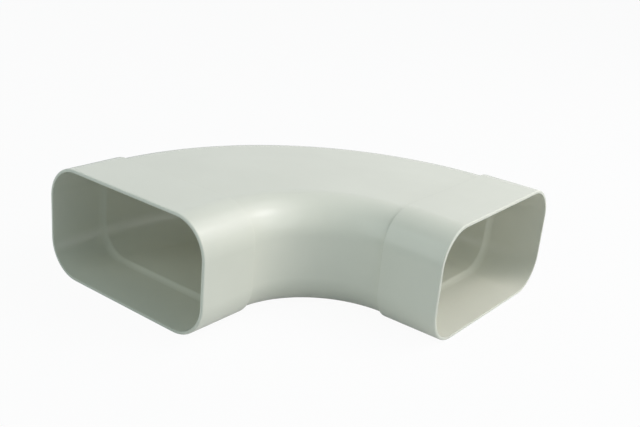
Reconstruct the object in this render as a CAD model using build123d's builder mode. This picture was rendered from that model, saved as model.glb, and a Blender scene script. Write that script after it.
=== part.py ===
from build123d import *
import os

# Flat duct that pushes into each mouth: outside width, height, corner radius and wall,
# and the gap all round it in the socket.
DUCT_WIDTH = 169.5
DUCT_HEIGHT = 89.5
DUCT_CORNER = 27.25
DUCT_WALL = 1.8
PUSH_GAP = 0.25

# Elbow: wall thickness, depth of each socket down to its sloped stop, length of that slope, straight
# run between the socket's shoulder and the bend, and radius of the bend's short side, outside.
WALL = 2.5
SOCKET_DEPTH = 48.0
STOP_SLOPE = 4.5
BEND_RUN = 1.0
SHORT_SIDE_RADIUS = 68.5

# Edges: the flat that is left on the rim between its wide outside bevel and the duct's small lead-in,
# the size of that lead-in, and the bevels on the edge and at the foot of the shoulder.
RIM_FLAT = 0.7
RIM_LEAD_IN = 0.3
SHOULDER_BEVEL = 0.4

# Distance within which a face or an edge counts as lying in a plane.
TOUCH = 0.001

# The socket's bore fits round the duct, and the bend's bore is flush with the duct's inside.
# Insets are measured inwards from the socket's bore.
stop_height = PUSH_GAP + DUCT_WALL
bore_width = DUCT_WIDTH + 2 * PUSH_GAP
bore_height = DUCT_HEIGHT + 2 * PUSH_GAP
bore_corner = DUCT_CORNER + PUSH_GAP
socket_inset = -WALL
body_inset = stop_height - WALL
socket_width = bore_width - 2 * socket_inset
socket_height = bore_height - 2 * socket_inset
body_width = bore_width - 2 * body_inset

# Each stop slopes inwards until it is level with the shoulder on the outside.
socket_length = SOCKET_DEPTH + STOP_SLOPE
rim_bevel = WALL - RIM_FLAT - RIM_LEAD_IN

# The origin is the middle of the overall box on the floor. The two centre lines cross at
# (-crossing, crossing), and each mouth lies one reach away from there.
bend_radius = SHORT_SIDE_RADIUS + body_width / 2
reach = bend_radius + BEND_RUN + socket_length
crossing = (reach - socket_width / 2) / 2
middle_height = socket_height / 2

# Planes at the two ends of the bend, each looking out towards its mouth.
front_end = Plane(
    origin=(-crossing, crossing - bend_radius, middle_height), x_dir=(1, 0, 0), z_dir=(0, -1, 0)
)
right_end = Plane(
    origin=(bend_radius - crossing, crossing, middle_height), x_dir=(0, 1, 0), z_dir=(1, 0, 0)
)
bend_axis = Axis((bend_radius - crossing, crossing - bend_radius, 0), (0, 0, -1))


def section(plane, inset):
    """Rounded section of the elbow on a plane."""
    with BuildSketch(plane) as outline:
        RectangleRounded(bore_width - 2 * inset, bore_height - 2 * inset, bore_corner - inset)
    return outline.sketch


def face_in(part, plane):
    """The flat face of a part that lies in a plane."""
    return part.faces().filter_by(GeomType.PLANE).filter_by(
        lambda face: abs(plane.to_local_coords(face.center()).Z) < TOUCH
        and abs(abs(face.normal_at().dot(plane.z_dir)) - 1) < TOUCH
    )[0]


with BuildPart() as elbow:
    # Outside: the bend, and at each end a straight run and a socket that ends in a square shoulder.
    revolve(section(front_end, body_inset), axis=bend_axis, revolution_arc=90)
    for end in (front_end, right_end):
        shoulder = end.offset(BEND_RUN)
        extrude(section(end, body_inset), amount=BEND_RUN)
        extrude(section(shoulder, socket_inset), amount=socket_length)
        chamfer(face_in(elbow, shoulder).outer_wire().edges(), SHOULDER_BEVEL)
        chamfer(face_in(elbow, shoulder).inner_wires().edges(), SHOULDER_BEVEL)

    # Inside: the bend's bore runs on to the shoulders, widens over each stop and goes out as a socket.
    revolve(section(front_end, stop_height), axis=bend_axis, revolution_arc=90, mode=Mode.SUBTRACT)
    for end in (front_end, right_end):
        shoulder = end.offset(BEND_RUN)
        stop = shoulder.offset(STOP_SLOPE)
        extrude(section(end, stop_height), amount=BEND_RUN, mode=Mode.SUBTRACT)
        loft([section(shoulder, stop_height), section(stop, 0)], ruled=True, mode=Mode.SUBTRACT)
        extrude(section(stop, 0), amount=SOCKET_DEPTH, mode=Mode.SUBTRACT)

    # Edges of the two rims.
    for end in (front_end, right_end):
        mouth = end.offset(BEND_RUN + socket_length)
        chamfer(face_in(elbow, mouth).outer_wire().edges(), rim_bevel)
        chamfer(face_in(elbow, mouth).inner_wires().edges(), RIM_LEAD_IN)

elbow.part.label = "elbow"
os.makedirs("parts", exist_ok=True)
export_step(elbow.part, "parts/elbow.step")
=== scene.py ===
from math import hypot, pi, radians

import bmesh
import bpy
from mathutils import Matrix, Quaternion, Vector


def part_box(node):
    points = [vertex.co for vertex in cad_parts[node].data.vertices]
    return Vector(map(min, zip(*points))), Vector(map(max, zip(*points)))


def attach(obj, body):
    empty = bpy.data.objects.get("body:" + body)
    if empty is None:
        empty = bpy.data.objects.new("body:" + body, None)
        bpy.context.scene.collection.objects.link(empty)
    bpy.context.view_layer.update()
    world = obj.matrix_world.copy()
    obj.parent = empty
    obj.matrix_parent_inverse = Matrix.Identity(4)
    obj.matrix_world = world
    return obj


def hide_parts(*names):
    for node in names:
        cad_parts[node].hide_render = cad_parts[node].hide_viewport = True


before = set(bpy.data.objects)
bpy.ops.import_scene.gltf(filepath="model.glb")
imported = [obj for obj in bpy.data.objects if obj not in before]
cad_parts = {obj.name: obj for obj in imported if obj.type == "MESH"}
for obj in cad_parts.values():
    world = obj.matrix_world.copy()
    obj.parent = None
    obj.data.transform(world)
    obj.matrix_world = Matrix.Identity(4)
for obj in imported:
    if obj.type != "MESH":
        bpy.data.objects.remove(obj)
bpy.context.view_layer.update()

# Elbow: one thin wall of injection-moulded plastic, a quarter bend between two push-fit sockets.
# Half of it is drawn, from the front mouth to the middle of the bend, and then mirrored, because
# both ends of the real part have the same shape.
MM = 0.001
wall = 2.5 * MM
socket_width = 175.0 * MM
socket_depth = 48.0 * MM
corner_radius = 30.0 * MM
stop_slope = 4.5 * MM
step_height = 2.05 * MM
bend_run = 1.0 * MM
rim_round_outside = 1.2 * MM
rim_round_inside = 0.3 * MM
stop_lead_in = 2.6 * MM
stop_lip_round = 0.9 * MM
shoulder_round = 0.5 * MM
shoulder_foot = 0.5 * MM
parting_ridge_width = 0.6 * MM
parting_ridge_height = 0.03 * MM
parting_ridge_start = 1.0 * MM
corner_segments = 20
bend_steps = 40
rim_segments = 5
lead_in_segments = 6
edge_segments = 3
ridge_segments = 2
crease_angle = radians(30)
touch = 0.01 * MM

low, high = (Vector(corner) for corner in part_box("elbow"))
socket_height = high.z - low.z
middle_height = (low.z + high.z) / 2
mouth_x = low.x + socket_width / 2
mouth_y = low.y
stop_y = mouth_y + socket_depth
shoulder_y = stop_y + stop_slope
bend_y = shoulder_y + bend_run
bend_centre = Vector((-bend_y, bend_y, 0.0))
bend_radius = bend_centre.x - mouth_x

bpy.ops.object.select_all(action="DESELECT")
bpy.ops.mesh.primitive_plane_add(size=1.0, location=(0.0, 0.0, 0.0))
elbow = bpy.context.object
elbow.name = "moulded_elbow"
elbow.data.name = "moulded_elbow"


def near(value, place):
    """Whether a coordinate lies at a place, to a hundredth of a millimetre."""
    return abs(value - place) < touch


def pick(kind, test):
    """Selects only the vertices, edges or faces in edit mode that pass a test."""
    bpy.ops.mesh.select_mode(type={"verts": "VERT", "edges": "EDGE", "faces": "FACE"}[kind])
    bpy.ops.mesh.select_all(action="DESELECT")
    mesh = bmesh.from_edit_mesh(elbow.data)
    for item in getattr(mesh, kind):
        if test(item):
            item.select_set(True)
    mesh.select_flush_mode()
    bmesh.update_edit_mesh(elbow.data)


def inset_of(point):
    """How far a point of the front socket lies inside its outside face."""
    across = abs(point.x - mouth_x) - socket_width / 2 + corner_radius
    upwards = abs(point.z - middle_height) - socket_height / 2 + corner_radius
    if across > 0 and upwards > 0:
        return corner_radius - hypot(across, upwards)
    return corner_radius - max(across, upwards)


def on_parting_line(vert):
    """Whether a vertex lies outside on the bend, not in its bore, at the height where the mould parts."""
    off_centre = hypot(vert.co.x - bend_centre.x, vert.co.y - bend_centre.y) - bend_radius
    outside = abs(off_centre) > socket_width / 2 - step_height - wall / 2
    return outside and vert.co.y > bend_y - touch and near(vert.co.z, middle_height)


def round_ring(y, inset, offset, segments):
    """Rounds the ring of edges that runs round the socket at one depth and one inset."""
    pick("edges", lambda edge: all(near(v.co.y, y) and near(inset_of(v.co), inset) for v in edge.verts))
    bpy.ops.mesh.bevel(offset=offset, segments=segments, affect="EDGES")


def extrude_along(distance):
    """Extrudes the selected faces straight into the elbow."""
    bpy.ops.mesh.extrude_region_move(TRANSFORM_OT_translate={"value": (0.0, distance, 0.0)})


def turn_half_bend():
    """Sweeps the selected faces to the middle of the bend and takes them away there."""
    bpy.ops.mesh.spin(steps=bend_steps, angle=pi / 4, center=bend_centre, axis=(0.0, 0.0, 1.0))
    bpy.ops.mesh.delete(type="FACE")


# The mouth's outline: a plate with rounded corners, split at mid-height where the mould parts.
bpy.ops.object.mode_set(mode="EDIT")
bpy.ops.mesh.select_all(action="SELECT")
bpy.ops.transform.resize(value=(socket_width, socket_height, 1.0))
pick("edges", lambda edge: near(edge.verts[0].co.x, edge.verts[1].co.x))
bpy.ops.mesh.subdivide(number_cuts=1)
pick("verts", lambda vert: near(abs(vert.co.y), socket_height / 2))
bpy.ops.mesh.bevel(offset=corner_radius, segments=corner_segments, affect="VERTICES")
bpy.ops.mesh.select_all(action="SELECT")
bpy.ops.transform.rotate(value=-pi / 2, orient_axis="X", center_override=(0.0, 0.0, 0.0))
bpy.ops.transform.translate(value=(mouth_x, mouth_y, middle_height))

# Outside: the socket, its square shoulder and half the bend.
pick("faces", lambda face: True)
extrude_along(socket_depth + stop_slope)
bpy.ops.mesh.inset(thickness=step_height)
extrude_along(bend_run)
turn_half_bend()
round_ring(shoulder_y, 0.0, shoulder_round, edge_segments)
round_ring(shoulder_y, step_height, shoulder_foot, edge_segments)

# Inside: the socket's bore, the stop that slopes inwards and half the bend's bore.
pick("faces", lambda face: all(near(v.co.y, mouth_y) for v in face.verts))
bpy.ops.mesh.inset(thickness=wall)
extrude_along(socket_depth)
bpy.ops.mesh.inset(thickness=step_height, depth=stop_slope)
extrude_along(bend_run)
turn_half_bend()
round_ring(stop_y, wall, stop_lead_in, lead_in_segments)
round_ring(shoulder_y, wall + step_height, stop_lip_round, edge_segments)
round_ring(mouth_y, 0.0, rim_round_outside, rim_segments)
round_ring(mouth_y, wall, rim_round_inside, edge_segments)

# Parting line: a very fine ridge along the outside of the bend, where the two halves of the mould meet.
pick("edges", lambda edge: all(on_parting_line(vert) for vert in edge.verts))
bpy.ops.mesh.bevel(offset=parting_ridge_width / 2, segments=ridge_segments, affect="EDGES")
pick("verts", lambda vert: on_parting_line(vert) and vert.co.y > bend_y + parting_ridge_start)
bpy.ops.transform.shrink_fatten(value=parting_ridge_height)

# The other half, mirrored about the upright plane through the middle of the bend.
bpy.ops.object.mode_set(mode="OBJECT")
bpy.ops.object.empty_add(location=bend_centre, rotation=(0.0, 0.0, pi / 4))
mirror_plane = bpy.context.object
bpy.ops.object.select_all(action="DESELECT")
bpy.context.view_layer.objects.active = elbow
elbow.select_set(True)
mirror = elbow.modifiers.new("other_half", "MIRROR")
mirror.mirror_object = mirror_plane
mirror.merge_threshold = touch
bpy.ops.object.modifier_apply(modifier=mirror.name)
bpy.data.objects.remove(mirror_plane)
bpy.ops.object.mode_set(mode="EDIT")
bpy.ops.mesh.select_all(action="SELECT")
bpy.ops.mesh.remove_doubles(threshold=touch)
bpy.ops.mesh.normals_make_consistent(inside=False)
bpy.ops.object.mode_set(mode="OBJECT")
bpy.ops.object.shade_smooth_by_angle(angle=crease_angle)
weighted = elbow.modifiers.new("flat_faces_stay_flat", "WEIGHTED_NORMAL")
weighted.keep_sharp = True
bpy.ops.object.modifier_apply(modifier=weighted.name)

# White plastic: faint clouds of pigment, a slightly uneven gloss, the shallow waves that cooling
# leaves in a moulded wall, and the fine grain of the mould's face.
pigment_dark = (0.77, 0.76, 0.66, 1.0)
pigment_light = (0.80, 0.79, 0.69, 1.0)
cloud_low, cloud_high = 0.3, 0.7
smoothest, roughest = 0.20, 0.25
wave_strength, wave_height = 1.0, 0.12 * MM
grain_strength, grain_height = 0.3, 0.03 * MM

plastic = bpy.data.materials.new("white_plastic")
plastic.use_nodes = True
nodes = plastic.node_tree.nodes
links = plastic.node_tree.links
shader = nodes["Principled BSDF"]
coordinates = nodes.new("ShaderNodeTexCoord")


def noise(scale, detail):
    """A noise pattern that is fixed to the elbow, with its scale in spots per metre."""
    pattern = nodes.new("ShaderNodeTexNoise")
    pattern.inputs["Scale"].default_value = scale
    pattern.inputs["Detail"].default_value = detail
    links.new(coordinates.outputs["Object"], pattern.inputs["Vector"])
    return pattern


def relief(pattern, strength, height):
    """A bump that follows a noise pattern."""
    bump = nodes.new("ShaderNodeBump")
    bump.inputs["Strength"].default_value = strength
    bump.inputs["Distance"].default_value = height
    links.new(pattern.outputs["Fac"], bump.inputs["Height"])
    return bump


cloud = noise(scale=14.0, detail=3.0)
tint = nodes.new("ShaderNodeValToRGB")
tint.color_ramp.elements[0].position = cloud_low
tint.color_ramp.elements[0].color = pigment_dark
tint.color_ramp.elements[1].position = cloud_high
tint.color_ramp.elements[1].color = pigment_light
links.new(cloud.outputs["Fac"], tint.inputs["Fac"])
links.new(tint.outputs["Color"], shader.inputs["Base Color"])

gloss = nodes.new("ShaderNodeMapRange")
gloss.inputs["From Min"].default_value = cloud_low
gloss.inputs["From Max"].default_value = cloud_high
gloss.inputs["To Min"].default_value = smoothest
gloss.inputs["To Max"].default_value = roughest
links.new(cloud.outputs["Fac"], gloss.inputs["Value"])
links.new(gloss.outputs["Result"], shader.inputs["Roughness"])

waves = relief(noise(scale=26.0, detail=1.0), wave_strength, wave_height)
grain = relief(noise(scale=900.0, detail=2.0), grain_strength, grain_height)
links.new(waves.outputs["Normal"], grain.inputs["Normal"])
links.new(grain.outputs["Normal"], shader.inputs["Normal"])
elbow.data.materials.append(plastic)

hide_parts("elbow")
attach(elbow, "root")

# Floor: a wide, flat sheet of pale matt card that the elbow lies on. To the camera it is nearly
# white and keeps a soft shadow. The plastic mirrors it less white, so that low edges stay dark.
floor_size = 30.0
floor_grey = (0.7, 0.7, 0.7, 1.0)
white_to_camera = 0.95
white_in_mirror = 0.25

bpy.ops.object.select_all(action="DESELECT")
bpy.ops.mesh.primitive_plane_add(size=floor_size, location=(0.0, 0.0, 0.0))
floor = bpy.context.object
floor.name = "studio_floor"
floor_paint = bpy.data.materials.new("studio_floor")
floor_paint.use_nodes = True
nodes = floor_paint.node_tree.nodes
links = floor_paint.node_tree.links
nodes.clear()
out = nodes.new("ShaderNodeOutputMaterial")
mix = nodes.new("ShaderNodeMixShader")
diffuse = nodes.new("ShaderNodeBsdfDiffuse")
diffuse.inputs["Color"].default_value = floor_grey
glow = nodes.new("ShaderNodeEmission")
glow.inputs["Color"].default_value = (1.0, 1.0, 1.0, 1.0)
glow.inputs["Strength"].default_value = 1.0
rays = nodes.new("ShaderNodeLightPath")
mirrored = nodes.new("ShaderNodeMath")
mirrored.operation = "MAXIMUM"
seen = nodes.new("ShaderNodeMath")
seen.operation = "MULTIPLY"
seen.inputs[1].default_value = white_to_camera
share = nodes.new("ShaderNodeMath")
share.operation = "MULTIPLY_ADD"
share.inputs[1].default_value = white_in_mirror
links.new(rays.outputs["Is Glossy Ray"], mirrored.inputs[0])
links.new(rays.outputs["Is Transmission Ray"], mirrored.inputs[1])
links.new(rays.outputs["Is Camera Ray"], seen.inputs[0])
links.new(mirrored.outputs[0], share.inputs[0])
links.new(seen.outputs[0], share.inputs[2])
links.new(share.outputs[0], mix.inputs["Fac"])
links.new(diffuse.outputs[0], mix.inputs[1])
links.new(glow.outputs[0], mix.inputs[2])
links.new(mix.outputs[0], out.inputs["Surface"])
floor.data.materials.append(floor_paint)

# Studio light: a faint, even light from all sides, a small key light and three large softboxes.
# The background is plain white to the camera, and in whatever is mirrored or seen through.
ambient_colour = (0.66, 0.92, 1.0, 1.0)
ambient_strength = 0.26
light_aim = Vector((0.0, 0.0, 0.05))

scene = bpy.context.scene
scene.view_settings.view_transform = "Standard"
world = bpy.data.worlds.new("studio")
scene.world = world
world.use_nodes = True
nodes = world.node_tree.nodes
links = world.node_tree.links
nodes.clear()
out = nodes.new("ShaderNodeOutputWorld")
mix = nodes.new("ShaderNodeMixShader")
ambient = nodes.new("ShaderNodeBackground")
ambient.inputs["Color"].default_value = ambient_colour
ambient.inputs["Strength"].default_value = ambient_strength
white = nodes.new("ShaderNodeBackground")
white.inputs["Color"].default_value = (1.0, 1.0, 1.0, 1.0)
white.inputs["Strength"].default_value = 1.0
rays = nodes.new("ShaderNodeLightPath")
mirrored = nodes.new("ShaderNodeMath")
mirrored.operation = "MAXIMUM"
seen = nodes.new("ShaderNodeMath")
seen.operation = "MAXIMUM"
links.new(rays.outputs["Is Glossy Ray"], mirrored.inputs[0])
links.new(rays.outputs["Is Transmission Ray"], mirrored.inputs[1])
links.new(rays.outputs["Is Camera Ray"], seen.inputs[0])
links.new(mirrored.outputs[0], seen.inputs[1])
links.new(seen.outputs[0], mix.inputs["Fac"])
links.new(ambient.outputs[0], mix.inputs[1])
links.new(white.outputs[0], mix.inputs[2])
links.new(mix.outputs[0], out.inputs["Surface"])

for name, stand, size, watts, colour in (
    ("key_softbox", (0.65, 0.56, 1.02), 0.35, 2.2, (1.0, 0.95, 0.96)),
    ("overhead_softbox", (0.74, 0.76, 1.19), 1.5, 12.2, (1.0, 0.95, 0.96)),
    ("side_softbox", (1.5, 0.2, 0.9), 1.4, 8.4, (0.96, 1.0, 0.98)),
    ("front_softbox", (-0.6, -1.5, 0.9), 1.5, 7.1, (0.93, 1.0, 0.96)),
):
    lamp_data = bpy.data.lights.new(name, "AREA")
    lamp_data.shape = "RECTANGLE"
    lamp_data.size = size
    lamp_data.size_y = size
    lamp_data.energy = watts
    lamp_data.color = colour
    lamp = bpy.data.objects.new(name, lamp_data)
    scene.collection.objects.link(lamp)
    lamp.location = stand
    lamp.rotation_euler = (light_aim - lamp.location).to_track_quat("-Z", "Y").to_euler()

# Camera: stands before the inner side of the bend and above it, where the photograph was taken,
# with both mouths in view. It is turned a little about its line of sight.
camera_place = Vector((0.41973, -0.54704, 0.32055))
camera_aim = Vector((-0.037495, 0.068547, 0.030747))
camera_roll = radians(5.327)
camera_data = bpy.data.cameras.new("camera")
camera_data.sensor_width = 36.0
camera_data.lens = 49.408
camera = bpy.data.objects.new("camera", camera_data)
scene.collection.objects.link(camera)
camera.location = camera_place
look = (camera_aim - camera_place).to_track_quat("-Z", "Y")
camera.rotation_mode = "QUATERNION"
camera.rotation_quaternion = look @ Quaternion((0.0, 0.0, 1.0), camera_roll)
scene.camera = camera
